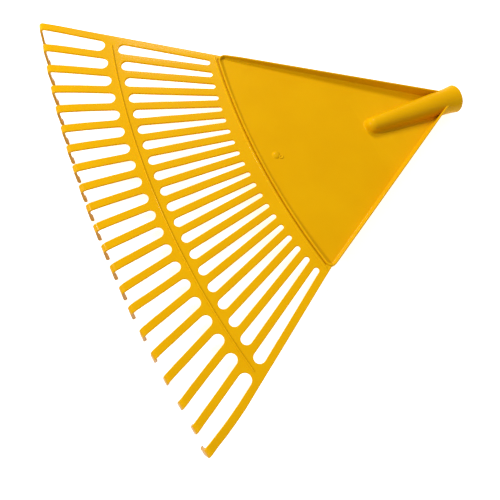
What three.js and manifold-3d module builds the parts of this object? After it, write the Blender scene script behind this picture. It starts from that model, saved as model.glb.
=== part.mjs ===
// Head of a fan-shaped leaf rake, moulded in one piece of yellow polypropylene.
// Millimetres, +Z up. The head lies top side up: the tips of its middle hooks and the rim of its
// handle socket stand on z = 0. +X runs along the head, from the socket to the tips. The head is
// symmetric about the XZ plane, but for a few arcs that lie a little askew. The origin is under
// the middle of its bounding box.
//
// The fan's own frame has its origin at the apex where the middle lines of all the tines meet,
// on the fan's flat top face. The tray's frame has its origin where the tray folds down from
// the fan, and its XY plane is the top of the tray's floor.
import * as THREE from "three";
import { mergeVertices } from "three/addons/utils/BufferGeometryUtils.js";
import Module from "manifold-3d";

const wasm = await Module();
wasm.setup();

// ---- driving dimensions ----
const DEGREE = Math.PI / 180;
const GAP = 0.3; // between pieces that meet
const TINE_COUNT = 21;
const TINE_PITCH = 3.42 * DEGREE;
const TINE_WIDTH = 9.3;
const FAN_THICKNESS = 3.2;

// Arcs that cross the fan and bulge towards the tips: the vertex, which is the furthest point's
// distance from the apex, the radius, and how far to the left of the middle line the centre is.
const LIP_ARC = arc(227.5, 848, -29); // middle of the tray's front lip
const SLOT_ROOT_ARC = arc(246, 552, -19); // narrow ends of the inner slots
const SLOT_END_ARC = arc(350, 988); // wide ends of the inner slots
const RIB_ARC = arc(357.3, 996); // raised rib on the cross band
const TIP_SLOT_ARC = arc(364.6, 1003, -6); // round ends of the open slots between the tips
const BEND_ARC = arc(434.5, 1452); // outside of the bends
const ROOT_BAND_EDGE = arc(250.7, 557, -19);
const CROSS_BAND_REAR = arc(342, 980);
const CROSS_BAND_FRONT = arc(372.6, 1011, -6);
const RIB_WIDTH = 2;
const RIB_HEIGHT = 1.3;
const RIB_END = 33.3 * DEGREE;

// Hooked tips
const DROOP_LENGTH = 36;
const DROOP_ANGLE = 4 * DEGREE;
const BEND_RADIUS = 6; // to the middle of the thickness
const HOOK_DEPTH = 36; // from the fan's top face
const HOOK_ANGLE = 84 * DEGREE; // down from the fan's plane
const HOOK_TIP_THICKNESS = 2.2;
const CURL_RADIUS = 10; // the last of the hook curls in
const CURL_ANGLE = 120 * DEGREE;
const END_HOOK_LEAN = 6 * DEGREE; // the two end hooks lean towards the others

// Tray
const FOLD_X = 228.5; // where it folds down from the fan, from the apex
const TRAY_TILT = 7.8 * DEGREE;
const FLOOR_THICKNESS = 2.6;
const RIM_THICKNESS = 2.4; // lip and side walls
const LIP_HEIGHT = 2.8;
const WALL_REAR_HEIGHT = 14.8;
const WALL_ANGLE = 30.2 * DEGREE; // each side wall to the middle line
const WALL_AXIS_X = -278.4; // where the walls' middle planes cross the middle line
const WALL_REAR_X = -264;
const CORNER_RADIUS = 9;
const GATE_MARK_RADIUS = 4.4;
const GATE_MARK_HEIGHT = 0.6;
const GATE_MARK_AT = [-21.6, -3.2];

// Handle socket: a closed tapered tube, sunk in the tray's floor. Its axis is parallel to the
// tray's X axis, and these are places along that axis and radii.
const SOCKET_LIFT = 3.2; // from the top of the floor to the axis
const NOSE_X = -146.4;
const NOSE_RADIUS = 10.9;
const NECK_X = -258;
const NECK_RADIUS = 15.9;
const MOUTH_X = -281.4;
const MOUTH_RADIUS = 18;
const RIM_RING_LENGTH = 8;
const BORE_MOUTH_RADIUS = 13.5;
const BORE_END_RADIUS = 7.4;
const BORE_END_X = -168;

// ---- worked out from the driving dimensions ----
const END_ANGLE = ((TINE_COUNT - 1) / 2) * TINE_PITCH;
const REST_TILT = restTilt();

// How far the fan leans from level when the head stands on its middle hook and its socket.
function restTilt() {
  const hookTip = tineMiddleLine(BEND_ARC.vertex).pop();
  const below = MOUTH_RADIUS - SOCKET_LIFT;
  const rimX = FOLD_X + MOUTH_X * Math.cos(TRAY_TILT) + below * Math.sin(TRAY_TILT);
  const rimZ = MOUTH_X * Math.sin(TRAY_TILT) - below * Math.cos(TRAY_TILT);
  return Math.atan2(-HOOK_DEPTH - rimZ, hookTip.x - rimX);
}

// ---- plane geometry ----
function arc(vertex, radius, left = 0) {
  return { vertex, radius, centre: new THREE.Vector2(vertex - radius, left) };
}

// Distance from the apex to an arc, along a direction.
function reach(curve, angle) {
  const foot = curve.centre.dot(polar(1, angle));
  return foot + Math.sqrt(foot ** 2 - curve.centre.lengthSq() + curve.radius ** 2);
}

// How far an arc falls back from square to a direction: its slope there.
function slope(curve, angle) {
  const fromCentre = polar(reach(curve, angle), angle).sub(curve.centre);
  return Math.tan(angle - Math.atan2(fromCentre.y, fromCentre.x));
}

function polar(distance, angle) {
  return new THREE.Vector2(distance * Math.cos(angle), distance * Math.sin(angle));
}

// The angle at which the side of a tine crosses an arc; side is 1 or -1.
function sideAngle(curve, angle, side) {
  return angle + side * Math.asin(TINE_WIDTH / 2 / reach(curve, angle));
}

// Points along an arc from one angle to another, seen from the apex.
function alongArc(curve, from, to, steps) {
  return Array.from({ length: steps + 1 }, (_, i) => {
    const angle = from + ((to - from) * i) / steps;
    return polar(reach(curve, angle), angle);
  });
}

// Points on a circle.
function roundPoints(centre, radius, from, to, steps) {
  return Array.from({ length: steps + 1 }, (_, i) => {
    const angle = from + ((to - from) * i) / steps;
    return centre.clone().add(polar(radius, angle));
  });
}

// Half the width of the slot between two tines.
function slotHalfWidth(distance) {
  const half = TINE_PITCH / 2;
  return distance * Math.tan(half) - TINE_WIDTH / 2 / Math.cos(half);
}

// ---- solids ----
function slab(points, bottom, top) {
  const geometry = new THREE.ExtrudeGeometry(new THREE.Shape(points), {
    depth: top - bottom,
    bevelEnabled: false,
  });
  return geometry.translate(0, 0, bottom);
}

function toSolid(geometry) {
  const bare = geometry.clone();
  bare.deleteAttribute("normal");
  bare.deleteAttribute("uv");
  const merged = mergeVertices(bare, 1e-4);
  const mesh = new wasm.Mesh({
    numProp: 3,
    vertProperties: merged.attributes.position.array,
    triVerts: Uint32Array.from(merged.index.array),
  });
  return new wasm.Manifold(mesh);
}

function toGeometry(solid) {
  const mesh = solid.getMesh();
  const geometry = new THREE.BufferGeometry();
  geometry.setAttribute("position", new THREE.BufferAttribute(mesh.vertProperties, 3));
  geometry.setIndex(new THREE.BufferAttribute(mesh.triVerts, 1));
  geometry.computeVertexNormals();
  return geometry;
}

function cut(geometry, tools) {
  const rest = tools.reduce((solid, tool) => solid.subtract(toSolid(tool)), toSolid(geometry));
  return toGeometry(rest);
}

// A solid of revolution about the X axis, from [x, radius] pairs.
function turned(profile) {
  const points = profile.map(([x, radius]) => new THREE.Vector2(radius, -x));
  return new THREE.LatheGeometry(points, 40).rotateZ(Math.PI / 2);
}

// ---- materials ----
function plastic(color) {
  return new THREE.MeshStandardMaterial({ color, roughness: 0.38, metalness: 0 });
}

function piece(name, geometry, color = 0xe6a803) {
  const mesh = new THREE.Mesh(geometry, plastic(color));
  mesh.name = name;
  return mesh;
}

// ---- fan ----
// A strip of the fan between two arcs, as wide as the fan.
function fanStrip(rear, front) {
  const rearEnd = sideAngle(rear, END_ANGLE, 1);
  const frontEnd = sideAngle(front, END_ANGLE, 1);
  return [...alongArc(rear, -rearEnd, rearEnd, 40), ...alongArc(front, frontEnd, -frontEnd, 40)];
}

function slotAngles() {
  return Array.from({ length: TINE_COUNT - 1 }, (_, i) => (i + 0.5) * TINE_PITCH - END_ANGLE);
}

// A slot's outline: straight sides along the tines, and a half-round end at each given arc.
// Without an end arc the slot runs out past the tips.
function slotOutline(angle, rootArc, endArc) {
  const taper = Math.tan(TINE_PITCH / 2);
  const inset = TINE_WIDTH / 2 / Math.cos(TINE_PITCH / 2);
  const rootCentre = (reach(rootArc, angle) - inset) / (1 - taper);
  const root = roundPoints(
    polar(rootCentre, angle), slotHalfWidth(rootCentre), angle + Math.PI / 2, angle + 1.5 * Math.PI, 8,
  );
  const far = BEND_ARC.vertex + BEND_ARC.radius;
  const open = [-1, 1].map((side) => polar(far, angle).add(
    polar(slotHalfWidth(far), angle + (side * Math.PI) / 2),
  ));
  if (!endArc) return [...root, ...open];
  const endCentre = (reach(endArc, angle) + inset) / (1 + taper);
  const end = roundPoints(
    polar(endCentre, angle), slotHalfWidth(endCentre), angle - Math.PI / 2, angle + Math.PI / 2, 10,
  );
  return [...root, ...end];
}

function slotCutters(rootArc, endArc) {
  return slotAngles().map((angle) => slab(
    slotOutline(angle, rootArc, endArc), -FAN_THICKNESS - 1, 1,
  ));
}

function rootBand() {
  const rearEnd = END_ANGLE + 1 * DEGREE;
  const rear = arc(LIP_ARC.vertex - 20, LIP_ARC.radius, LIP_ARC.centre.y);
  const frontEnd = sideAngle(ROOT_BAND_EDGE, END_ANGLE, 1);
  const outline = [
    ...alongArc(rear, -rearEnd, rearEnd, 40),
    ...alongArc(ROOT_BAND_EDGE, frontEnd, -frontEnd, 40),
  ];
  const tray = slab(rimLine(-RIM_THICKNESS / 2 - GAP).reverse(), -12, 12);
  tray.rotateY(-TRAY_TILT).translate(FOLD_X, 0, 0);
  const band = slab(outline, -FAN_THICKNESS, 0);
  return piece("root_band", cut(band, [tray, ...slotCutters(SLOT_ROOT_ARC, SLOT_END_ARC)]));
}

function crossBand() {
  const band = slab(fanStrip(CROSS_BAND_REAR, CROSS_BAND_FRONT), -FAN_THICKNESS, 0);
  const cutters = [...slotCutters(SLOT_ROOT_ARC, SLOT_END_ARC), ...slotCutters(TIP_SLOT_ARC)];
  return piece("cross_band", cut(band, cutters));
}

function crossRib() {
  const rear = arc(RIB_ARC.vertex - RIB_WIDTH / 2, RIB_ARC.radius);
  const front = arc(RIB_ARC.vertex + RIB_WIDTH / 2, RIB_ARC.radius);
  const outline = [
    ...alongArc(rear, -RIB_END, RIB_END, 40),
    ...alongArc(front, RIB_END, -RIB_END, 40),
  ];
  return piece("cross_rib", slab(outline, GAP, RIB_HEIGHT), 0xf0b418);
}

// The straight strut of one tine, between the root band and the cross band.
function innerTine(index) {
  const angle = index * TINE_PITCH - END_ANGLE;
  const corner = (curve, side, gap) => {
    const at = sideAngle(curve, angle, side);
    return polar(reach(curve, at), at).add(polar(gap, angle));
  };
  const outline = [
    corner(ROOT_BAND_EDGE, -1, GAP),
    corner(CROSS_BAND_REAR, -1, -GAP),
    corner(CROSS_BAND_REAR, 1, -GAP),
    corner(ROOT_BAND_EDGE, 1, GAP),
  ];
  return piece(`inner_tine_${label(index)}`, slab(outline, -FAN_THICKNESS, 0));
}

// A tine's side view from its root to the tip of its hook: the middle line as points with a
// direction and a thickness. It runs flat, droops a little, turns down, tapers and curls in.
function tineMiddleLine(length) {
  const middle = -FAN_THICKNESS / 2;
  const droopRadius = DROOP_LENGTH / DROOP_ANGLE;
  const droopRun = droopRadius * Math.sin(DROOP_ANGLE);
  const bendRun = BEND_RADIUS * (Math.sin(HOOK_ANGLE) - Math.sin(DROOP_ANGLE));
  const flat = length - droopRun - bendRun + middle;
  const line = [{ x: 0, z: middle, down: 0, thickness: FAN_THICKNESS }];
  const turn = (start, radius, to, steps) => {
    const from = start.down;
    for (let i = 1; i <= steps; i++) {
      const down = from + ((to - from) * i) / steps;
      line.push({
        x: start.x + radius * (Math.sin(down) - Math.sin(from)),
        z: start.z - radius * (Math.cos(from) - Math.cos(down)),
        down,
        thickness: start.thickness,
      });
    }
    return line[line.length - 1];
  };
  line.push({ ...line[0], x: flat });
  const droop = turn(line[1], droopRadius, DROOP_ANGLE, 3);
  const bend = turn(droop, BEND_RADIUS, HOOK_ANGLE, 6);
  const curlDrop = CURL_RADIUS * (Math.cos(HOOK_ANGLE) - Math.cos(CURL_ANGLE));
  const tipDrop = -(HOOK_TIP_THICKNESS / 2) * Math.cos(CURL_ANGLE);
  const hook = (HOOK_DEPTH - curlDrop - tipDrop + bend.z) / Math.sin(HOOK_ANGLE);
  line.push({
    x: bend.x + hook * Math.cos(HOOK_ANGLE),
    z: bend.z - hook * Math.sin(HOOK_ANGLE),
    down: HOOK_ANGLE,
    thickness: HOOK_TIP_THICKNESS,
  });
  turn(line[line.length - 1], CURL_RADIUS, CURL_ANGLE, 3);
  return line;
}

function thicken(line) {
  const offset = (side) => ({ x, z, down, thickness }) => new THREE.Vector2(
    x + side * (thickness / 2) * Math.sin(down), z + side * (thickness / 2) * Math.cos(down),
  );
  return [...line.map(offset(-1)), ...line.map(offset(1)).reverse()];
}

// One tine from the cross band outwards, with its hook. Its ends follow the arcs that cross
// the fan, so it is skewed, and the hooks of the two end tines lean towards the middle.
function outerTine(index) {
  const angle = index * TINE_PITCH - END_ANGLE;
  const start = reach(CROSS_BAND_FRONT, angle) + GAP;
  const length = reach(BEND_ARC, angle) - start;
  const geometry = new THREE.ExtrudeGeometry(new THREE.Shape(thicken(tineMiddleLine(length))), {
    depth: TINE_WIDTH,
    bevelEnabled: false,
  });
  geometry.rotateX(Math.PI / 2).translate(0, TINE_WIDTH / 2, 0);
  const isEnd = index === 0 || index === TINE_COUNT - 1;
  const lean = isEnd ? Math.sign(angle) * Math.tan(END_HOOK_LEAN) : 0;
  const rootSlope = slope(CROSS_BAND_FRONT, angle);
  const tipSlope = slope(BEND_ARC, angle);
  const position = geometry.attributes.position;
  for (let i = 0; i < position.count; i++) {
    const along = Math.min(position.getX(i) / length, 1);
    const skew = rootSlope + (tipSlope - rootSlope) * along;
    position.setX(i, position.getX(i) + position.getY(i) * skew);
    position.setY(i, position.getY(i) + Math.min(position.getZ(i) + FAN_THICKNESS, 0) * lean);
  }
  geometry.translate(start, 0, 0).rotateZ(angle);
  return piece(`outer_tine_${label(index)}`, geometry);
}

function label(index) {
  return String(index + 1).padStart(2, "0");
}

// ---- tray ----
// Half of the rim's middle line, moved in by an inset: the wall from its rear end, the rounded
// corner, and the lip up to the middle line. Side is 1 for the left half and -1 for the right.
function halfRimLine(side, inset, wallRearX) {
  const lipRadius = LIP_ARC.radius - inset;
  const lipCentre = new THREE.Vector2(LIP_ARC.centre.x - FOLD_X, side * LIP_ARC.centre.y);
  const cornerRadius = CORNER_RADIUS - inset;
  const wallAxisX = WALL_AXIS_X + inset / Math.sin(WALL_ANGLE);
  const along = polar(1, WALL_ANGLE);
  const inward = polar(cornerRadius, WALL_ANGLE - Math.PI / 2);
  const base = new THREE.Vector2(wallAxisX, 0).sub(lipCentre).add(inward);
  const toCentre = lipRadius - cornerRadius;
  const foot = base.dot(along);
  const run = -foot + Math.sqrt(foot ** 2 - base.lengthSq() + toCentre ** 2);
  const corner = base.addScaledVector(along, run);
  const lipEnd = corner.angle();
  const lipMiddle = Math.asin(-lipCentre.y / lipRadius);
  const half = [
    new THREE.Vector2(wallRearX, (wallRearX - wallAxisX) * Math.tan(WALL_ANGLE)),
    ...roundPoints(corner.add(lipCentre), cornerRadius, WALL_ANGLE + Math.PI / 2, lipEnd, 8),
    ...roundPoints(lipCentre, lipRadius, lipEnd, lipMiddle, 20).slice(1),
  ];
  return half.map(({ x, y }) => new THREE.Vector2(x, side * y));
}

function rimLine(inset, wallRearX = WALL_REAR_X) {
  const left = halfRimLine(1, inset, wallRearX);
  const right = halfRimLine(-1, inset, wallRearX);
  return [...left, ...right.slice(0, -1).reverse()];
}

// The outside radius of the socket's flared end.
function flareRadius(x) {
  const t = (x - NECK_X) / (MOUTH_X - NECK_X);
  return NECK_RADIUS + (MOUTH_RADIUS - NECK_RADIUS) * t ** 2;
}

function socketProfile(clearance) {
  const nose = Array.from({ length: 9 }, (_, i) => {
    const angle = (i * Math.PI) / 16;
    return [
      NOSE_X - NOSE_RADIUS + (NOSE_RADIUS + clearance) * Math.cos(angle),
      (NOSE_RADIUS + clearance) * Math.sin(angle),
    ];
  });
  const flare = Array.from({ length: 7 }, (_, i) => {
    const x = NECK_X + ((MOUTH_X - NECK_X) * i) / 6;
    return [x, flareRadius(x) + clearance];
  });
  return [...nose, ...flare];
}

function boreRadius(x) {
  const t = (x - MOUTH_X) / (BORE_END_X - MOUTH_X);
  return BORE_MOUTH_RADIUS + (BORE_END_RADIUS - BORE_MOUTH_RADIUS) * t;
}

function handleSocket() {
  const end = MOUTH_X + RIM_RING_LENGTH + GAP;
  const outside = socketProfile(0).filter(([x]) => x > end);
  const profile = [
    ...outside,
    [end, flareRadius(end)],
    [end, boreRadius(end)],
    [BORE_END_X, BORE_END_RADIUS],
    [BORE_END_X, 0],
  ];
  return piece("handle_socket", turned(profile).translate(0, 0, SOCKET_LIFT));
}

function socketRim() {
  const start = MOUTH_X + RIM_RING_LENGTH;
  const profile = [
    [start, boreRadius(start)],
    [start, flareRadius(start)],
    [MOUTH_X, MOUTH_RADIUS],
    [MOUTH_X, BORE_MOUTH_RADIUS],
    [start, boreRadius(start)],
  ];
  return piece("socket_rim", turned(profile).translate(0, 0, SOCKET_LIFT), 0xd89a0c);
}

function socketClearance() {
  return turned([...socketProfile(GAP), [MOUTH_X, 0]]).translate(0, 0, SOCKET_LIFT);
}

function frontLip() {
  const outer = rimLine(-RIM_THICKNESS / 2);
  const inner = rimLine(RIM_THICKNESS / 2);
  const outline = [...outer.slice(1, -1), ...inner.slice(1, -1).reverse()].reverse();
  return piece("front_lip", slab(outline, -FLOOR_THICKNESS, LIP_HEIGHT), 0xf0b418);
}

// A side wall, from its corner back to the socket, which it dies into.
function sideWall(name, side) {
  const [rear, front] = halfRimLine(side, 0, WALL_REAR_X);
  const length = front.distanceTo(rear) - GAP;
  const shape = new THREE.Shape([
    new THREE.Vector2(0, -FLOOR_THICKNESS),
    new THREE.Vector2(length, -FLOOR_THICKNESS),
    new THREE.Vector2(length, LIP_HEIGHT),
    new THREE.Vector2(0, WALL_REAR_HEIGHT),
  ]);
  const wall = new THREE.ExtrudeGeometry(shape, { depth: RIM_THICKNESS, bevelEnabled: false });
  wall.rotateX(Math.PI / 2).translate(0, RIM_THICKNESS / 2, 0);
  wall.rotateZ(side * WALL_ANGLE).translate(rear.x, rear.y, 0);
  return piece(name, cut(wall, [socketClearance()]), 0xc88400);
}

// The floor is three panels: one in front of the socket's nose and one on each side of it.
function trayFloor() {
  const inset = RIM_THICKNESS / 2 + GAP;
  const outline = rimLine(inset, WALL_REAR_X + 6).reverse();
  const floor = toSolid(slab(outline, -FLOOR_THICKNESS, 0)).subtract(toSolid(socketClearance()));
  const split = NOSE_X + 6;
  const panel = (name, low, high) => {
    const box = new THREE.BoxGeometry(high[0] - low[0], high[1] - low[1], 20);
    box.translate((low[0] + high[0]) / 2, (low[1] + high[1]) / 2, 0);
    return piece(name, toGeometry(floor.intersect(toSolid(box))), 0xe0a400);
  };
  return [
    panel("tray_floor_front", [split, -200], [20, 200]),
    panel("tray_floor_left", [-300, 0], [split - GAP, 200]),
    panel("tray_floor_right", [-300, -200], [split - GAP, 0]),
  ];
}

function gateMark() {
  const mark = new THREE.CylinderGeometry(GATE_MARK_RADIUS - 0.5, GATE_MARK_RADIUS, GATE_MARK_HEIGHT, 24);
  mark.rotateX(Math.PI / 2).translate(...GATE_MARK_AT, GAP + GATE_MARK_HEIGHT / 2);
  return piece("gate_mark", mark, 0xf0b418);
}

// ---- assembly ----
function buildFan() {
  const fan = new THREE.Group();
  fan.add(rootBand(), crossBand(), crossRib());
  for (let i = 0; i < TINE_COUNT; i++) fan.add(innerTine(i), outerTine(i));
  return fan;
}

function buildTray() {
  const tray = new THREE.Group();
  tray.add(...trayFloor(), frontLip(), gateMark());
  tray.add(sideWall("side_wall_left", 1), sideWall("side_wall_right", -1));
  tray.add(handleSocket(), socketRim());
  tray.position.set(FOLD_X, 0, 0);
  tray.rotation.y = -TRAY_TILT;
  return tray;
}

// The head as it stands, centred over the origin.
const group = new THREE.Group();
group.add(buildFan(), buildTray());
group.rotation.y = REST_TILT;
const box = new THREE.Box3().setFromObject(group, true);
group.position.set(-(box.min.x + box.max.x) / 2, 0, -box.min.z);

export default group;
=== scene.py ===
import math

import bmesh
import bpy
from mathutils import Matrix, Vector
from mathutils.geometry import delaunay_2d_cdt


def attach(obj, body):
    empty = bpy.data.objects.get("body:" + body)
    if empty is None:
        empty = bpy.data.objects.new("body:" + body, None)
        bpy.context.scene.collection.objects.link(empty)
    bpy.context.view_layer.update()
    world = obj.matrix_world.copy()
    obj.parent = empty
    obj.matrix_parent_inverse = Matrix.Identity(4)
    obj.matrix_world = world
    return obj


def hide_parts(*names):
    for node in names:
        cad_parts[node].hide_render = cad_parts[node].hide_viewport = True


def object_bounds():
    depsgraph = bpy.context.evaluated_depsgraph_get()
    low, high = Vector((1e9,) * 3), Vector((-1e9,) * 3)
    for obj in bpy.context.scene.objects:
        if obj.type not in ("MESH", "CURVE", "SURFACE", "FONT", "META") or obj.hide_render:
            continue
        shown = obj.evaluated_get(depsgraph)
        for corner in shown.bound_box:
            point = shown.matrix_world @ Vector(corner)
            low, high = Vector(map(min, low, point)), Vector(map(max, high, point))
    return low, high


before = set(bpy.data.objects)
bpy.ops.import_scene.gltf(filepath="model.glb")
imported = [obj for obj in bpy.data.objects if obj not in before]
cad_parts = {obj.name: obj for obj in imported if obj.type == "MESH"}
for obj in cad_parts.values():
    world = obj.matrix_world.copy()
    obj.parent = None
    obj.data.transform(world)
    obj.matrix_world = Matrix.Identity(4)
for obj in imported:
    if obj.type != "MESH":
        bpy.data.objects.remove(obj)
cad_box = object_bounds()

# Head of a fan-shaped leaf rake, moulded in one piece of yellow polypropylene. The meshes are
# worked out in millimetres in two frames of their own, and then placed in the row's frame.
# The fan's frame has its origin at the apex where the middle lines of the tines meet, on the
# fan's flat top face, with +X to the tips. The tray's frame has its origin where the tray folds
# down from the fan, and its XY plane is the top of the tray's floor.
MM = 0.001

# ---- driving dimensions ----
# They are the frame's, apart from the side walls, which stand a little closer together, the
# tray's tighter corners and the slimmer nose of the socket.
TINE_COUNT = 21
TINE_PITCH = math.radians(3.42)
TINE_WIDTH = 9.3
FAN_THICKNESS = 3.2
DROOP_LENGTH = 36
DROOP_ANGLE = math.radians(4)
BEND_RADIUS = 6
HOOK_DEPTH = 36
HOOK_ANGLE = math.radians(84)
HOOK_TIP_THICKNESS = 2.2
CURL_RADIUS = 10
CURL_ANGLE = math.radians(120)
FOLD_X = 228.5  # where the tray folds down from the fan
TRAY_TILT = math.radians(7.8)
FLOOR_THICKNESS = 2.6
RIM_THICKNESS = 2.4
WALL_REAR_HEIGHT = 14.8
WALL_ANGLE = math.radians(29.85)
WALL_AXIS_X = -278.4
WALL_REAR_X = -264
CORNER_RADIUS = 6.5
GATE_MARK_AT = Vector((-21.6, -3.2))
SOCKET_LIFT = 3.2  # of the socket's axis above the tray's floor
NOSE_X = -146.4
NOSE_RADIUS = 10.0
NECK_X = -258
NECK_RADIUS = 15.9
MOUTH_X = -281.4
MOUTH_RADIUS = 18
BORE_MOUTH_RADIUS = 13.5
BORE_END_RADIUS = 7.4
BORE_END_X = -168

# ---- dimensions of the finer shapes ----
EDGE_ROUND = 0.7  # radius of the fan's edges
EDGE_STEPS = 3
TIP_CORNER = 1.4  # radius of the corners of a hook's tip
END_CORNER = 4.125  # how far the outer corners of the two end hooks are rounded off
HOOK_CLEARANCE = 0.02  # keeps the hooks inside the CAD box
HOOK_FILL = 1.2  # how much thicker a hook is at its tip than in the frame
# By the tine's index: how far its drooping end leans to the left, in degrees, and how far it
# strays to the right, in millimetres.
LEANS = {0: -8, 1: -3, 14: 1.5, 15: 2.5, 16: 3.5, 17: 4.5, 18: 5, 19: 4.5, 20: 9.5}
BOWS = {0: 1.1, 1: 1.0, 2: 0.5, 14: 1.5, 16: 0.4, 18: -1.5, 19: 0.4, 20: 5.0}
LIP_RISE = 1.3  # of the rim above the fan
RIM_ROUND = 1.0
RIM_FILLET = 2.2
BASE_ROUND = 0.8
GROOVE_OUT = 2.3  # from the middle of the rim to the far side of the groove in front of it
GROOVE_DEPTH = 1.5
GROOVE_END = 6  # how far from the fan's sides the groove ends
BEAD_OUT = 4.4  # from the middle of the rim to the middle of the bead
BEAD_WIDTH = 3.0
BEAD_HEIGHT = 0.9
BEAD_END = math.radians(34.9)
RIB_WIDTH = 2.2
RIB_HEIGHT = 1.3
RIB_END = math.radians(33.3)
SOCKET_FILLET = 2.2
FILLET_REAR_X = -247
FILLET_FADE = 14  # the length over which the fillet fades out towards its rear end
CORE_INSET = 1.8  # how deep the tray reaches into the socket's tube
CORE_PAST_MOUTH = 10
MOUTH_ROUND = 1.3
BORE_MOUTH_ROUND = 0.8
BORE_END_ROUND = 2
BUMP_RADIUS = 5.0
BUMP_HEIGHT = 1.5
BUMP_SINK = 0.3  # how far the bump's dome starts below the floor
RING_AT = Vector((-26.6, 1.0))
RING_RADIUS = 2.6
RING_HEIGHT = 0.9
SHARP_ANGLE = math.radians(40)

END_ANGLE = (TINE_COUNT - 1) / 2 * TINE_PITCH


# ---- plane geometry ----
def polar(distance, angle):
    return Vector((distance * math.cos(angle), distance * math.sin(angle)))


class Arc:
    """An arc across the fan. Vertex is its furthest point's distance from the apex."""

    def __init__(self, vertex, radius, left=0):
        self.vertex = vertex
        self.radius = radius
        self.centre = Vector((vertex - radius, left))

    def reach(self, angle):
        """Distance from the apex to the arc, along a direction."""
        foot = self.centre.dot(polar(1, angle))
        return foot + math.sqrt(foot ** 2 - self.centre.length_squared + self.radius ** 2)

    def slope(self, angle):
        """How far the arc falls back from square to a direction: its slope there."""
        out = polar(self.reach(angle), angle) - self.centre
        return math.tan(angle - math.atan2(out.y, out.x))


LIP_ARC = Arc(227.5, 848, -29)
SLOT_ROOT_ARC = Arc(246, 552, -19)
SLOT_END_ARC = Arc(350, 988)
RIB_ARC = Arc(357.3, 996)
TIP_SLOT_ARC = Arc(364.6, 1003, -6)
BEND_ARC = Arc(434.5, 1452)


def round_points(centre, radius, start, end, steps):
    return [
        centre + polar(radius, start + (end - start) * i / steps) for i in range(steps + 1)
    ]


def slot_half_width(distance):
    half = TINE_PITCH / 2
    return distance * math.tan(half) - TINE_WIDTH / 2 / math.cos(half)


def slot_angles():
    return [(i + 0.5) * TINE_PITCH - END_ANGLE for i in range(TINE_COUNT - 1)]


def inset_loop(loop, distance):
    """A closed loop moved to its left by a distance."""
    moved = []
    for i, point in enumerate(loop):
        before = (point - loop[i - 1]).normalized()
        after = (loop[(i + 1) % len(loop)] - point).normalized()
        left = Vector((-before.y - after.y, before.x + after.x)) / (1 + before.dot(after))
        moved.append(point + left * distance)
    return moved


# ---- a tine's side view ----
class TineLine:
    """A tine's middle line from the apex to the tip of its hook, by its own length. It runs
    flat, droops a little, turns down, tapers along the hook and curls in."""

    def __init__(self, bend_reach):
        middle = -FAN_THICKNESS / 2
        droop_radius = DROOP_LENGTH / DROOP_ANGLE
        droop_run = droop_radius * math.sin(DROOP_ANGLE)
        bend_run = BEND_RADIUS * (math.sin(HOOK_ANGLE) - math.sin(DROOP_ANGLE))
        flat = bend_reach - droop_run - bend_run + middle
        # Each part: where it starts, its starting direction, its radius, and its length.
        self.parts = [(0, 0, middle, 0, None, flat)]
        self._add(droop_radius, DROOP_LENGTH)
        self._add(BEND_RADIUS, BEND_RADIUS * (HOOK_ANGLE - DROOP_ANGLE))
        bend_z = self._ahead()[2]
        curl_drop = CURL_RADIUS * (math.cos(HOOK_ANGLE) - math.cos(CURL_ANGLE))
        tip_drop = -(HOOK_TIP_THICKNESS / 2) * math.cos(CURL_ANGLE)
        hook = (HOOK_DEPTH - curl_drop - tip_drop + bend_z) / math.sin(HOOK_ANGLE)
        self._add(None, hook)
        self._add(CURL_RADIUS, CURL_RADIUS * (CURL_ANGLE - HOOK_ANGLE))
        self.end, self.tip_x = self._ahead()[:2]

    def _ahead(self):
        start, x, z, down, radius, length = self.parts[-1]
        x, z, down = self._along(x, z, down, radius, length)
        return start + length, x, z, down

    def _add(self, radius, length):
        self.parts.append((*self._ahead(), radius, length))

    @staticmethod
    def _along(x, z, down, radius, distance):
        if radius is None:
            return x + distance * math.cos(down), z - distance * math.sin(down), down
        to = down + distance / radius
        x += radius * (math.sin(to) - math.sin(down))
        z -= radius * (math.cos(down) - math.cos(to))
        return x, z, to

    def at(self, length):
        """(x, z, direction down, thickness) at a length along the line."""
        part = [p for p in self.parts if p[0] <= length or p[0] == 0][-1]
        start, x, z, down, radius, _ = part
        x, z, down = self._along(x, z, down, radius, length - start)
        hook_start, hook_length = self.parts[3][0], self.parts[3][5]
        taper = min(max((length - hook_start) / hook_length, 0), 1)
        return x, z, down, FAN_THICKNESS + (HOOK_TIP_THICKNESS - FAN_THICKNESS) * taper

    def stations(self):
        """Lengths at which the mesh needs points: sparse where straight, dense in the bends."""
        found = [self.parts[1][0] - 6 * i for i in (3, 2, 1)]
        for part, steps in zip(self.parts[1:], (6, 9, 4, 5)):
            start, length = part[0], part[5]
            found += [start + length * i / steps for i in range(steps)]
        last = self.end - TIP_CORNER
        return [length for length in found if length < last - 0.2] + [last]


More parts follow.
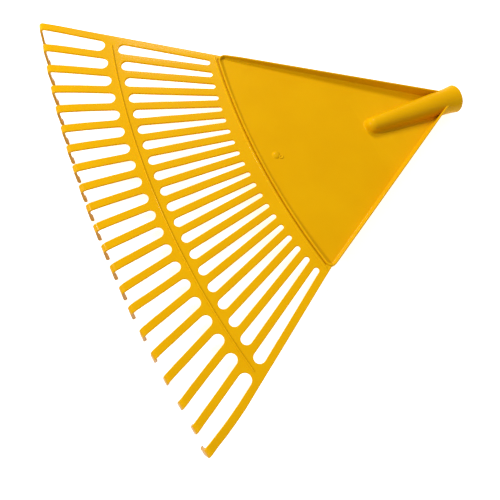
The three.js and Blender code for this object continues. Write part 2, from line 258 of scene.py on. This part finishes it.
class Tine:
    def __init__(self, index):
        self.index = index
        self.angle = index * TINE_PITCH - END_ANGLE
        self.line = TineLine(BEND_ARC.reach(self.angle) - HOOK_CLEARANCE)
        self.slope = BEND_ARC.slope(self.angle)
        self.end_side = {0: -1, TINE_COUNT - 1: 1}.get(index, 0)
        self.lean = math.radians(LEANS.get(index, 0))
        self.bow = BOWS.get(index, 0)
        self.lean_start = TIP_SLOT_ARC.reach(self.angle) + 2

    def to_plane(self, along, across):
        return polar(along, self.angle) + polar(across, self.angle + math.pi / 2)

    def half_width(self, side, length):
        """Half the tine's width on one side. The end tines' outer corners are rounded off."""
        half = TINE_WIDTH / 2
        if side != self.end_side:
            return half
        start = self.line.parts[2][0]
        fade = min(max((length - start) / (self.line.end - start), 0), 1)
        return half - END_CORNER * (1 - math.sqrt(1 - fade ** 2))

    def side_points(self, side):
        return [
            self.to_plane(s + side * self.half_width(side, s) * self.slope,
                          side * self.half_width(side, s))
            for s in self.line.stations()
        ]

    def tip_points(self):
        """Round the tip, between the last points of the two sides."""
        points = []
        for side in (-1, 1):
            half = self.half_width(side, self.line.end)
            turn = [math.radians(a) for a in (30, 60, 90)]
            if side > 0:
                turn = [math.radians(a) for a in (90, 60, 30)]
            for a in turn:
                across = side * (half - TIP_CORNER + TIP_CORNER * math.cos(a))
                length = self.line.end - TIP_CORNER + TIP_CORNER * math.sin(a)
                points.append(self.to_plane(length + across * self.slope, across))
        return points

    def fold(self, along, across, height):
        """A point of the unrolled tine at its place in the fan's frame."""
        x, z, down, thickness = self.line.at(along - across * self.slope)
        offset = (height / FAN_THICKNESS + 0.5) * thickness
        filled = (FAN_THICKNESS - thickness) / (FAN_THICKNESS - HOOK_TIP_THICKNESS)
        offset += HOOK_FILL * filled * height / FAN_THICKNESS
        x += offset * math.sin(down) + across * self.slope
        z += offset * math.cos(down)
        if along > self.lean_start and (self.lean or self.bow):
            t = min((along - self.lean_start) / (self.line.parts[2][0] - self.lean_start), 1)
            lean = self.lean * t * t * (3 - 2 * t)
            across, z = (
                across * math.cos(lean) + z * math.sin(lean) - self.bow * t * t,
                z * math.cos(lean) - across * math.sin(lean)
                + abs(math.sin(lean)) * TINE_WIDTH / 2,
            )
        flat = self.to_plane(x, across)
        return Vector((flat.x, flat.y, z))


TINES = [Tine(i) for i in range(TINE_COUNT)]


# ---- rim of the tray ----
def half_rim_line(side, inset=0):
    """Half of the rim's middle line, moved in by an inset: the side wall from its rear end,
    the rounded corner, and the lip up to its middle. Side is 1 for left and -1 for right."""
    lip_radius = LIP_ARC.radius - inset
    lip_centre = Vector((LIP_ARC.centre.x - FOLD_X, side * LIP_ARC.centre.y))
    corner_radius = CORNER_RADIUS - inset
    axis_x = WALL_AXIS_X + inset / math.sin(WALL_ANGLE)
    along = polar(1, WALL_ANGLE)
    base = Vector((axis_x, 0)) - lip_centre + polar(corner_radius, WALL_ANGLE - math.pi / 2)
    to_centre = lip_radius - corner_radius
    foot = base.dot(along)
    corner = base + along * (-foot + math.sqrt(foot ** 2 - base.length_squared + to_centre ** 2))
    lip_end = math.atan2(corner.y, corner.x)
    lip_middle = math.asin(-lip_centre.y / lip_radius)
    rear = Vector((WALL_REAR_X, (WALL_REAR_X - axis_x) * math.tan(WALL_ANGLE)))
    bend = round_points(
        corner + lip_centre, corner_radius, WALL_ANGLE + math.pi / 2, lip_end, 10
    )
    wall = [rear.lerp(bend[0], i / 16) for i in range(16)]
    lip = round_points(lip_centre, lip_radius, lip_end, lip_middle, 36)[1:]
    return [Vector((p.x, side * p.y)) for p in [*wall, *bend, *lip]]


def rim_line():
    """The rim's middle line, clockwise seen from above, from the left wall's rear end."""
    left, right = half_rim_line(1), half_rim_line(-1)
    return left + right[:-1][::-1]


def rim_height(point, corner_x):
    """Height of the rim above the tray's floor."""
    if point.x > corner_x:
        return LIP_RISE - point.x * math.tan(TRAY_TILT)
    corner_height = LIP_RISE - corner_x * math.tan(TRAY_TILT)
    t = (point.x - corner_x) / (WALL_REAR_X - corner_x)
    return corner_height + (WALL_REAR_HEIGHT - corner_height) * t


# ---- meshes ----
def new_object(name, vertices, faces, place):
    """A smooth mesh object at its place in the row's frame."""
    mesh = bpy.data.meshes.new(name)
    mesh.from_pydata([place @ Vector(v) for v in vertices], [], faces)
    work = bmesh.new()
    work.from_mesh(mesh)
    bmesh.ops.remove_doubles(work, verts=work.verts, dist=1e-6)
    bmesh.ops.dissolve_degenerate(work, edges=work.edges, dist=1e-7)
    bmesh.ops.recalc_face_normals(work, faces=work.faces)
    work.to_mesh(mesh)
    work.free()
    mesh.shade_smooth()
    made = bpy.data.objects.new(name, mesh)
    bpy.context.scene.collection.objects.link(made)
    return made


def smooth_shading(piece):
    """Flat faces stay flat in shading, and the narrow rounded edges carry the turn."""
    piece.data.set_sharp_from_angle(angle=SHARP_ANGLE)
    weighted = piece.modifiers.new("normals", "WEIGHTED_NORMAL")
    weighted.weight = 90
    weighted.keep_sharp = True


def finish_piece(piece, *nodes):
    smooth_shading(piece)
    piece.data.materials.append(PLASTIC)
    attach(piece, "root")
    if nodes:
        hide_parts(*nodes)


def fill(loops, crossings=()):
    """Triangles between the first loop and the others, which are holes in it. Crossings are
    pairs of vertex numbers that have to be joined by an edge."""
    points = [point for loop in loops for point in loop]
    edges, first = [], 0
    for loop in loops:
        count = len(loop)
        edges += [(first + i, first + (i + 1) % count) for i in range(count)]
        first += count
    made = delaunay_2d_cdt(points, edges + list(crossings), [], 0, 1e-6, True)
    original = [ids[0] for ids in made[3]]
    triangles = [tuple(original[v] for v in face) for face in made[2]]
    return inside_only(triangles, set(edges))


def inside_only(triangles, border):
    """The triangles on the left of the border's directed edges. Those that don't touch the
    border go with their neighbours."""
    sides = [[(t[0], t[1]), (t[1], t[2]), (t[2], t[0])] for t in triangles]
    owner = {side: number for number, found in enumerate(sides) for side in found}
    inside = set()
    waiting = [number for number, found in enumerate(sides) if border.intersection(found)]
    while waiting:
        number = waiting.pop()
        if number in inside:
            continue
        inside.add(number)
        for a, b in sides[number]:
            if (a, b) not in border and (b, a) in owner:
                waiting.append(owner[(b, a)])
    return [triangles[number] for number in sorted(inside)]


def edge_profile(groove):
    """(inset, height) pairs from the edge of the top face round to that of the bottom face.
    The rear edge has a groove along its top, in front of the tray's lip."""
    turns = [math.pi / 2 * i / EDGE_STEPS for i in range(EDGE_STEPS + 1)]
    rounded = [(EDGE_ROUND * (1 - math.sin(a)), EDGE_ROUND * (math.cos(a) - 1)) for a in turns]
    bottom = [(inset, -FAN_THICKNESS - height) for inset, height in rounded[::-1]]
    if groove:
        top = [(GROOVE_OUT + inset, height) for inset, height in rounded]
        return top + [(GROOVE_OUT, -GROOVE_DEPTH), (0, -GROOVE_DEPTH)] + bottom
    return rounded + [(0, -GROOVE_DEPTH), (0, -FAN_THICKNESS * 0.6)] + bottom


def slot_loop(angle):
    """An inner slot's outline, clockwise, so that the plastic is on its left."""
    taper = math.tan(TINE_PITCH / 2)
    inset = TINE_WIDTH / 2 / math.cos(TINE_PITCH / 2)
    root = (SLOT_ROOT_ARC.reach(angle) - inset) / (1 - taper)
    end = (SLOT_END_ARC.reach(angle) + inset) / (1 + taper)
    quarter = math.pi / 2
    points = round_points(
        polar(root, angle), slot_half_width(root), angle + quarter, angle + 3 * quarter, 10
    ) + round_points(polar(end, angle), slot_half_width(end), angle - quarter, angle + quarter, 12)
    return points[::-1]


def open_slot_end(angle):
    """The round end of an open slot, from its right side to its left."""
    taper = math.tan(TINE_PITCH / 2)
    inset = TINE_WIDTH / 2 / math.cos(TINE_PITCH / 2)
    root = (TIP_SLOT_ARC.reach(angle) - inset) / (1 - taper)
    quarter = math.pi / 2
    return round_points(
        polar(root, angle), slot_half_width(root), angle + 3 * quarter, angle + quarter, 10
    )


def fan_rear():
    """The fan's rear edge, from left to right: it lies inside the tray's rim, and ends on the
    outer sides of the two end tines."""
    rim = rim_line()
    points = [Vector((FOLD_X + p.x / math.cos(TRAY_TILT), p.y)) for p in rim]
    middle = len(points) // 2
    ends = []
    for side, run in ((1, points[:middle][::-1]), (-1, points[middle:])):
        outward = polar(1, side * END_ANGLE + side * math.pi / 2)
        kept = []
        for point in run:
            beyond = point.dot(outward) - TINE_WIDTH / 2
            if beyond > 0:
                before = kept[-1]
                inside = TINE_WIDTH / 2 - before.dot(outward)
                kept.append(before.lerp(point, inside / (inside + beyond)))
                break
            kept.append(point)
        ends.append(kept)
    return ends[0][::-1] + ends[1]


def fan_outline():
    """The unrolled fan's outline, anticlockwise, pairs of its points across the tines, and the
    points along the groove."""
    outline, crossings = [], []
    for tine in TINES:
        right = tine.side_points(-1)
        left = tine.side_points(1)
        first = len(outline)
        outline += right + tine.tip_points()
        count = len(right)
        last = len(outline) + count - 1
        crossings += [(first + i, last - i) for i in range(count)]
        outline += left[::-1]
        if tine.index < TINE_COUNT - 1:
            outline += open_slot_end(tine.angle + TINE_PITCH / 2)
    rear = fan_rear()
    grooved = [
        len(outline) + i
        for i, point in enumerate(rear)
        if min((point - rear[0]).length, (point - rear[-1]).length) > GROOVE_END
    ]
    return outline + rear, crossings, grooved


def nearest_tine(point):
    index = round((math.atan2(point.y, point.x) + END_ANGLE) / TINE_PITCH)
    return TINES[min(max(index, 0), TINE_COUNT - 1)]


def build_fan(place):
    """The fan with all its tines, as one skin. It is worked out flat, and its points are then
    folded down along the tines."""
    outline, crossings, grooved = fan_outline()
    loops = [outline] + [slot_loop(angle) for angle in slot_angles()]
    plain, rear = edge_profile(False), edge_profile(True)
    total = sum(len(loop) for loop in loops)
    vertices, faces, top = [], [], []
    for row, (inset, height) in enumerate(plain):
        for loop in loops:
            points = inset_loop(loop, inset)
            heights = [height] * len(loop)
            if loop is outline:
                behind = inset_loop(loop, rear[row][0])
                for i in grooved:
                    points[i] = behind[i]
                    heights[i] = rear[row][1]
            if row == 0:
                top.append(points)
            for point, level in zip(points, heights):
                tine = nearest_tine(point)
                away = polar(1, tine.angle)
                vertices.append(tine.fold(point.dot(away), away.cross(point), level))
    first = 0
    for loop in loops:
        count = len(loop)
        for row in range(len(plain) - 1):
            for i in range(count):
                a = row * total + first + i
                b = row * total + first + (i + 1) % count
                faces.append((a, b, b + total, a + total))
        first += count
    cap = fill(top, crossings)
    under = (len(plain) - 1) * total
    faces += cap
    faces += [tuple(under + v for v in triangle[::-1]) for triangle in cap]
    return new_object("fan", vertices, faces, place)


def rim_profile(height):
    """(inset, height) pairs across the rim: from the floor up its inside, over the top and
    down the outside to the underside."""
    half = RIM_THICKNESS / 2
    fillet = min(RIM_FILLET, height * 0.8)
    quarter = [math.pi / 2 * i / 4 for i in range(5)]
    flat = half + RIM_FILLET + 0.4
    foot = [(flat, 0)]
    foot += [
        (half + fillet * (1 - math.sin(a)), fillet * (1 - math.cos(a))) for a in quarter[:-1]
    ]
    top_z = max(height - RIM_ROUND, fillet)
    rise = height - top_z
    inside = [
        (half - RIM_ROUND * (1 - math.cos(a)), top_z + rise * math.sin(a)) for a in quarter
    ]
    outside = [
        (-half + RIM_ROUND * (1 - math.sin(a)), top_z + rise * math.cos(a)) for a in quarter
    ]
    base = [
        (-half + BASE_ROUND * (1 - math.cos(a)),
         -FLOOR_THICKNESS + BASE_ROUND * (1 - math.sin(a)))
        for a in quarter[::2]
    ]
    return foot + inside + outside + base + [(flat, -FLOOR_THICKNESS)]


def build_tray(place):
    """The tray: its floor, its lip and its two side walls."""
    line = rim_line()[::-1]  # anticlockwise, so that the tray's inside is on the left
    corner_x = half_rim_line(1)[16].x
    profiles = [rim_profile(rim_height(point, corner_x)) for point in line]
    insets = {}
    for profile in profiles:
        for inset, _ in profile:
            insets.setdefault(inset, inset_loop(line, inset))
    count = len(line)
    size = len(profiles[0])
    vertices = []
    for row in range(size):
        for i in range(count):
            inset, height = profiles[i][row]
            point = insets[inset][i]
            vertices.append((point.x, point.y, height))
    faces = []
    for row in range(size - 1):
        for i in range(count):
            a = row * count + i
            b = row * count + (i + 1) % count
            faces.append((a, b, b + count, a + count))
    floor = fill([[Vector(v[:2]) for v in vertices[:count]]])
    faces += floor
    under = (size - 1) * count
    faces += [tuple(under + v for v in triangle[::-1]) for triangle in floor]
    return new_object("tray", vertices, faces, place)


def turned(profile, steps=96):
    """A closed solid of revolution about the socket's axis, from (x, radius) pairs."""
    vertices, faces = [], []
    for x, radius in profile:
        for i in range(steps):
            turn = 2 * math.pi * i / steps
            vertices.append((x, radius * math.sin(turn), SOCKET_LIFT + radius * math.cos(turn)))
    count = len(profile)
    for row in range(count):
        for i in range(steps):
            a, b = row * steps + i, row * steps + (i + 1) % steps
            c, d = (row + 1) % count * steps + (i + 1) % steps, (row + 1) % count * steps + i
            faces.append((a, b, c, d))
    return vertices, faces


def outside_radius(x):
    """The outside radius of the tube: a straight taper and then the flare."""
    if x < NECK_X:
        flare = (x - NECK_X) / (MOUTH_X - NECK_X)
        return NECK_RADIUS + (MOUTH_RADIUS - NECK_RADIUS) * flare ** 2
    nose = NOSE_X - NOSE_RADIUS
    return NOSE_RADIUS + (NECK_RADIUS - NOSE_RADIUS) * (nose - x) / (nose - NECK_X)


def socket_profile(inset=0.0):
    """(x, radius) pairs along the outside, from the nose to the mouth."""
    nose = NOSE_X - NOSE_RADIUS
    radius = NOSE_RADIUS - inset
    turns = [math.pi / 2 * i / 10 for i in range(11)]
    dome = [(nose + radius * math.cos(a), radius * math.sin(a)) for a in turns]
    tube = [nose + (NECK_X - nose) * i / 6 for i in range(1, 7)]
    flare = [NECK_X + (MOUTH_X + MOUTH_ROUND - NECK_X) * i / 8 for i in range(1, 9)]
    return dome + [(x, outside_radius(x) - inset) for x in tube + flare]


def build_socket(place):
    """The socket's tube, with its tapered bore."""
    quarter = [math.pi / 2 * i / 4 for i in range(1, 5)]
    rim = [
        (MOUTH_X + MOUTH_ROUND * (1 - math.sin(a)),
         MOUTH_RADIUS - MOUTH_ROUND * (1 - math.cos(a)))
        for a in quarter
    ]
    inner = [
        (MOUTH_X + BORE_MOUTH_ROUND * (1 - math.cos(a)),
         BORE_MOUTH_RADIUS + BORE_MOUTH_ROUND * (1 - math.sin(a)))
        for a in [0, *quarter]
    ]
    steps = 8
    bore_x = MOUTH_X + BORE_MOUTH_ROUND
    bore = [
        (bore_x + (BORE_END_X - bore_x) * i / steps,
         BORE_MOUTH_RADIUS + (BORE_END_RADIUS - BORE_MOUTH_RADIUS) * i / steps)
        for i in range(1, steps + 1)
    ]
    end = [
        (BORE_END_X + BORE_END_ROUND * math.sin(a),
         BORE_END_RADIUS - BORE_END_ROUND * (1 - math.cos(a)))
        for a in quarter
    ]
    profile = socket_profile() + rim + inner + bore + end + [(BORE_END_X + BORE_END_ROUND, 0)]
    return new_object("socket_tube", *turned(profile), place)


def socket_outline(out):
    """The tube's outline at the height of its axis, moved out by a function of x: up its right
    side, round the nose and down its left side, from the fillet's rear end."""
    nose = NOSE_X - NOSE_RADIUS
    side = [nose + (FILLET_REAR_X - nose) * i / 14 for i in range(15)]
    right = [Vector((x, -outside_radius(x) - out(x))) for x in side[::-1]]
    left = [Vector((x, outside_radius(x) + out(x))) for x in side]
    turn = round_points(Vector((nose, 0)), NOSE_RADIUS + out(nose), -math.pi / 2, math.pi / 2, 32)
    return right[:-1] + turn + left[1:]


def build_socket_fillet(place):
    """The concave fillet between the tube and the tray's floor. It fades out at the rear."""
    def width(x):
        return SOCKET_FILLET * min(1, max(0.04, (x - FILLET_REAR_X) / FILLET_FADE))

    turns = [math.pi / 2 * i / 8 for i in range(9)]
    rows = []
    for a in turns:
        outward = socket_outline(lambda x: width(x) * (1 - math.cos(a)))
        rows.append([(p.x, p.y, SOCKET_LIFT * (1 - math.sin(a))) for p in outward])
    sunk = -0.6  # the fillet's foot is sunk into the floor
    rows.append([(x, y, sunk) for x, y, _ in rows[-1]])
    inner = socket_outline(lambda x: -1.0)
    rows.append([(p.x, p.y, sunk) for p in inner])
    rows.append([(p.x, p.y, SOCKET_LIFT) for p in inner])
    count = len(rows[0])
    size = len(rows)
    vertices = [v for row in rows for v in row]
    faces = []
    for r in range(size):
        for i in range(count - 1):
            a, b = r * count + i, (r + 1) % size * count + i
            faces.append((a, a + 1, b + 1, b))
    faces.append(tuple(r * count for r in range(size)))
    faces.append(tuple(r * count + count - 1 for r in range(size))[::-1])
    return new_object("socket_fillet", vertices, faces, place)


def build_ridge(name, arc, end_angle, width, height, place):
    """A low rounded ridge along an arc of the fan. It runs out to nothing at both ends."""
    steps, sides = 120, 8
    vertices, faces = [], []
    for i in range(steps + 1):
        angle = end_angle * (2 * i / steps - 1)
        end = min(i, steps - i) / 2
        size = math.sqrt(max(0, 1 - max(0, 1 - end) ** 2)) or 0.05
        for j in range(sides + 1):
            turn = math.pi * j / sides
            reach = arc.reach(angle) + width / 2 * size * math.cos(turn)
            point = polar(reach, angle)
            vertices.append((point.x, point.y, height * size * math.sin(turn) - 0.05))
    count = sides + 1
    for i in range(steps):
        for j in range(count):
            a, b = i * count + j, i * count + (j + 1) % count
            faces.append((a, b, b + count, a + count))
    faces.append(tuple(range(count)))
    faces.append(tuple(steps * count + j for j in range(count))[::-1])
    return new_object(name, vertices, faces, place)


def build_gate_mark(place):
    """The moulding mark: a smooth round bump, with a small ring beside it."""
    bump = [
        (BUMP_RADIUS * math.sin(a), (BUMP_HEIGHT + BUMP_SINK) * math.cos(a) - BUMP_SINK)
        for a in [math.radians(90 - 10 * i) for i in range(10)]
    ]
    radius, height = RING_RADIUS, RING_HEIGHT
    ring = [
        (radius, -0.2), (radius - 0.05, height * 0.5), (radius - 0.3, height * 0.85),
        (radius - 0.7, height), (radius - 1.1, height * 0.9), (radius - 1.4, height * 0.5),
        (radius - 1.7, height * 0.25), (0, height * 0.2),
    ]
    steps = 40
    vertices, faces = [], []
    for profile, centre in ((bump, GATE_MARK_AT), (ring, RING_AT)):
        start = len(vertices)
        for distance, z in profile:
            for i in range(steps):
                point = centre + polar(distance, 2 * math.pi * i / steps)
                vertices.append((point.x, point.y, z))
        for row in range(len(profile) - 1):
            for i in range(steps):
                a, b = start + row * steps + i, start + row * steps + (i + 1) % steps
                faces.append((a, b, b + steps, a + steps))
        faces.append(tuple(range(start, start + steps))[::-1])
    return new_object("gate_pad", vertices, faces, place)


def cut_by(piece, vertices, faces, place):
    """Takes a solid away from a piece for good."""
    tool = new_object("tool", vertices, faces, place)
    boolean = piece.modifiers.new("cut", "BOOLEAN")
    boolean.operation = "DIFFERENCE"
    boolean.solver = "EXACT"
    boolean.object = tool
    bpy.context.view_layer.update()
    view = bpy.context.evaluated_depsgraph_get()
    mesh = bpy.data.meshes.new_from_object(piece.evaluated_get(view))
    piece.modifiers.remove(boolean)
    old = piece.data
    piece.data = mesh
    bpy.data.meshes.remove(old)
    bpy.data.objects.remove(tool)
    mesh.shade_smooth()


# ---- placing ----
def fan_place():
    """The fan's frame in the row's frame. The head leans until it stands on its middle hook
    and its socket's rim, and the CAD box's low corner gives its place."""
    tip_x = TineLine(BEND_ARC.vertex).tip_x
    below = MOUTH_RADIUS - SOCKET_LIFT
    rim_x = FOLD_X + MOUTH_X * math.cos(TRAY_TILT) + below * math.sin(TRAY_TILT)
    rim_z = MOUTH_X * math.sin(TRAY_TILT) - below * math.cos(TRAY_TILT)
    tilt = math.atan2(-HOOK_DEPTH - rim_z, tip_x - rim_x)
    turn = Matrix.Rotation(tilt, 4, "Y")
    scale = Matrix.Scale(MM, 4)
    leaning = scale @ turn
    lowest = (leaning @ Vector((rim_x, 0, rim_z))).z
    rearmost = leaning @ tray_in_fan() @ Vector((MOUTH_X, 0, SOCKET_LIFT + MOUTH_RADIUS))
    low = cad_box[0]
    return Matrix.Translation((low.x - rearmost.x, 0, low.z - lowest)) @ leaning


def tray_in_fan():
    return Matrix.Translation((FOLD_X, 0, 0)) @ Matrix.Rotation(-TRAY_TILT, 4, "Y")


# ---- material ----
def plastic_material():
    """Yellow polypropylene: satin, with a fine moulded grain, faint flow clouds and paler worn
    edges. The hooks carry painted shade, darker towards their tips."""
    material = bpy.data.materials.new("moulded_plastic")
    material.use_nodes = True
    nodes, links = material.node_tree.nodes, material.node_tree.links
    shader = nodes["Principled BSDF"]
    shader.inputs["IOR"].default_value = 1.49
    shader.inputs["Specular IOR Level"].default_value = 0.02
    shader.inputs["Coat Weight"].default_value = 0.06
    shader.inputs["Coat Roughness"].default_value = 0.12
    shader.inputs["Subsurface Weight"].default_value = 0.08
    shader.inputs["Subsurface Radius"].default_value = (0.004, 0.002, 0.0005)
    shader.inputs["Subsurface Scale"].default_value = 0.6
    place = nodes.new("ShaderNodeTexCoord")

    def noise(scale, detail=3.0, rough=0.5):
        node = nodes.new("ShaderNodeTexNoise")
        node.inputs["Scale"].default_value = scale
        node.inputs["Detail"].default_value = detail
        node.inputs["Roughness"].default_value = rough
        links.new(place.outputs["Object"], node.inputs["Vector"])
        return node.outputs["Fac"]

    def ramp(value, stops):
        node = nodes.new("ShaderNodeValToRGB")
        elements = node.color_ramp.elements
        for element, (at, colour) in zip(elements, stops):
            element.position = at
            element.color = (*colour, 1)
        links.new(value, node.inputs["Fac"])
        return node.outputs["Color"]

    def grade(value, low, high, to_low, to_high):
        node = nodes.new("ShaderNodeMapRange")
        for name, number in zip(
            ("From Min", "From Max", "To Min", "To Max"), (low, high, to_low, to_high)
        ):
            node.inputs[name].default_value = number
        links.new(value, node.inputs["Value"])
        return node.outputs["Result"]

    clouds = ramp(noise(CLOUD_SCALE, 2.0), [(0.3, COLOUR_DEEP), (0.7, COLOUR_PALE)])
    edge = nodes.new("ShaderNodeNewGeometry").outputs["Pointiness"]
    worn = nodes.new("ShaderNodeMix")
    worn.data_type = "RGBA"
    links.new(grade(edge, 0.505, 0.56, 0.0, 0.35), worn.inputs["Factor"])
    links.new(clouds, worn.inputs["A"])
    worn.inputs["B"].default_value = (*COLOUR_WORN, 1)
    # painted shade: the hooks in front of the cross band darken towards their tips
    parts = nodes.new("ShaderNodeSeparateXYZ")
    links.new(place.outputs["Object"], parts.inputs["Vector"])
    low = grade(parts.outputs["Z"], HOOK_SHADE_TOP, HOOK_SHADE_FULL, 0.0, 1.0)
    front = grade(parts.outputs["X"], HOOK_SHADE_FROM_X, HOOK_SHADE_FROM_X + 0.01, 0.0, HOOK_SHADE_AMOUNT)
    both = nodes.new("ShaderNodeMath")
    both.operation = "MULTIPLY"
    links.new(low, both.inputs[0])
    links.new(front, both.inputs[1])
    hook_shaded = nodes.new("ShaderNodeMix")
    hook_shaded.data_type = "RGBA"
    links.new(both.outputs["Value"], hook_shaded.inputs["Factor"])
    links.new(worn.outputs["Result"], hook_shaded.inputs["A"])
    hook_shaded.inputs["B"].default_value = (*COLOUR_HOOK_SHADE, 1)
    links.new(hook_shaded.outputs["Result"], shader.inputs["Base Color"])
    blotches = noise(BLOTCH_SCALE, 4.0, 0.6)
    links.new(grade(blotches, 0.3, 0.7, *ROUGHNESS), shader.inputs["Roughness"])
    grain = nodes.new("ShaderNodeBump")
    grain.inputs["Strength"].default_value = 0.12
    grain.inputs["Distance"].default_value = 0.0002
    links.new(noise(GRAIN_SCALE, 2.0), grain.inputs["Height"])
    links.new(grain.outputs["Normal"], shader.inputs["Normal"])
    return material


COLOUR_DEEP = (0.655, 0.328, 0.0003)
COLOUR_PALE = (0.680, 0.350, 0.0005)
COLOUR_WORN = (0.80, 0.44, 0.003)
# painted shade for the hooks, which darkens them towards their tips
COLOUR_HOOK_SHADE = (0.26, 0.10, 0.0003)
HOOK_SHADE_TOP = 0.0355  # the painted shade on the hooks starts a little below the fan
HOOK_SHADE_FULL = 0.028
HOOK_SHADE_FROM_X = 0.12
HOOK_SHADE_AMOUNT = 0.62
ROUGHNESS = (0.30, 0.38)
CLOUD_SCALE = 22  # of the noises, per metre
BLOTCH_SCALE = 160
GRAIN_SCALE = 1400


# ---- studio ----
def floor_material():
    """A matt white that glows a little, so that the floor stays pale under the head."""
    material = bpy.data.materials.new("studio_floor")
    material.use_nodes = True
    nodes, links = material.node_tree.nodes, material.node_tree.links
    shader = nodes["Principled BSDF"]
    shader.inputs["Roughness"].default_value = 0.9
    shader.inputs["Emission Color"].default_value = (1, 1, 1, 1)
    shader.inputs["Emission Strength"].default_value = FLOOR_GLOW
    place = nodes.new("ShaderNodeTexCoord")
    noise = nodes.new("ShaderNodeTexNoise")
    noise.inputs["Scale"].default_value = 6
    links.new(place.outputs["Object"], noise.inputs["Vector"])
    tone = nodes.new("ShaderNodeMapRange")
    tone.inputs["To Min"].default_value = 0.86
    tone.inputs["To Max"].default_value = 0.9
    links.new(noise.outputs["Fac"], tone.inputs["Value"])
    links.new(tone.outputs["Result"], shader.inputs["Base Color"])
    return material


def area_light(name, toward, size, watts):
    """A square area light that looks at the middle of the head from a direction."""
    light = bpy.data.lights.new(name, "AREA")
    light.size = size
    light.energy = watts
    made = bpy.data.objects.new(name, light)
    direction = Vector(toward).normalized()
    made.location = direction * LIGHT_DISTANCE
    made.rotation_mode = "QUATERNION"
    made.rotation_quaternion = direction.to_track_quat("Z", "Y")
    bpy.context.scene.collection.objects.link(made)


def build_studio():
    scene = bpy.context.scene
    scene.view_settings.view_transform = "Standard"
    world = bpy.data.worlds.new("studio")
    world.use_nodes = True
    background = world.node_tree.nodes["Background"]
    background.inputs["Color"].default_value = (1, 1, 1, 1)
    background.inputs["Strength"].default_value = WORLD_LIGHT
    scene.world = world
    mesh = bpy.data.meshes.new("studio_floor")
    half = FLOOR_SIZE / 2
    mesh.from_pydata(
        [(-half, -half, 0), (half, -half, 0), (half, half, 0), (-half, half, 0)], [], [(0, 1, 2, 3)]
    )
    mesh.materials.append(floor_material())
    floor = bpy.data.objects.new("studio_floor", mesh)
    scene.collection.objects.link(floor)
    area_light("key", KEY_DIRECTION, KEY_SIZE, KEY_WATTS)
    area_light("spark", SPARK_DIRECTION, SPARK_SIZE, SPARK_WATTS)


WORLD_LIGHT = 0.47
FLOOR_SIZE = 60
FLOOR_GLOW = 0.72
LIGHT_DISTANCE = 3.0
KEY_DIRECTION = (-0.2, -0.9, 0.93)
KEY_SIZE = 0.8
KEY_WATTS = 49
SPARK_DIRECTION = (0.74, -0.35, 0.58)  # a small light, for the highlight on the socket's nose
SPARK_SIZE = 0.25
SPARK_WATTS = 60


# ---- camera, as solved from the object's perspective ----
CAMERA_AT = (0.21365, 0.24780, 0.64651)
CAMERA_RIGHT = (-0.91082, 0.40537, 0.07807)
CAMERA_UP = (-0.36650, -0.88107, 0.29901)
CAMERA_LENS = 41.04


def build_camera():
    camera = bpy.data.cameras.new("camera")
    camera.sensor_width = 36
    camera.lens = CAMERA_LENS
    camera.clip_start = 0.01
    made = bpy.data.objects.new("camera", camera)
    right, up = Vector(CAMERA_RIGHT).normalized(), Vector(CAMERA_UP)
    back = right.cross(up).normalized()
    up = back.cross(right)
    turn = Matrix((right, up, back)).transposed().to_4x4()
    made.matrix_world = Matrix.Translation(CAMERA_AT) @ turn
    bpy.context.scene.collection.objects.link(made)
    bpy.context.scene.camera = made


# ---- the head ----
def numbered(stem):
    return [f"{stem}_{i + 1:02d}" for i in range(TINE_COUNT)]


PLASTIC = plastic_material()
FAN_PLACE = fan_place()
TRAY_PLACE = FAN_PLACE @ tray_in_fan()

fan = build_fan(FAN_PLACE)
finish_piece(fan, "root_band", "cross_band", *numbered("inner_tine"), *numbered("outer_tine"))
rib = build_ridge("cross_rib_ridge", RIB_ARC, RIB_END, RIB_WIDTH, RIB_HEIGHT, FAN_PLACE)
finish_piece(rib, "cross_rib")
bead_arc = Arc(LIP_ARC.vertex + BEAD_OUT, LIP_ARC.radius + BEAD_OUT, LIP_ARC.centre.y)
bead = build_ridge("lip_bead", bead_arc, BEAD_END, BEAD_WIDTH, BEAD_HEIGHT, FAN_PLACE)
finish_piece(bead)
tray = build_tray(TRAY_PLACE)
core = [(NOSE_X - CORE_INSET, 0)] + socket_profile(CORE_INSET)[1:]
core_end = MOUTH_X - CORE_PAST_MOUTH
core += [(core_end, MOUTH_RADIUS - CORE_INSET), (core_end, 0)]
cut_by(tray, *turned(core), TRAY_PLACE)
finish_piece(
    tray, "tray_floor_front", "tray_floor_left", "tray_floor_right", "front_lip",
    "side_wall_left", "side_wall_right",
)
socket = build_socket(TRAY_PLACE)
finish_piece(socket, "handle_socket", "socket_rim")
fillet = build_socket_fillet(TRAY_PLACE)
finish_piece(fillet)
mark = build_gate_mark(TRAY_PLACE)
finish_piece(mark, "gate_mark")

build_studio()
build_camera()
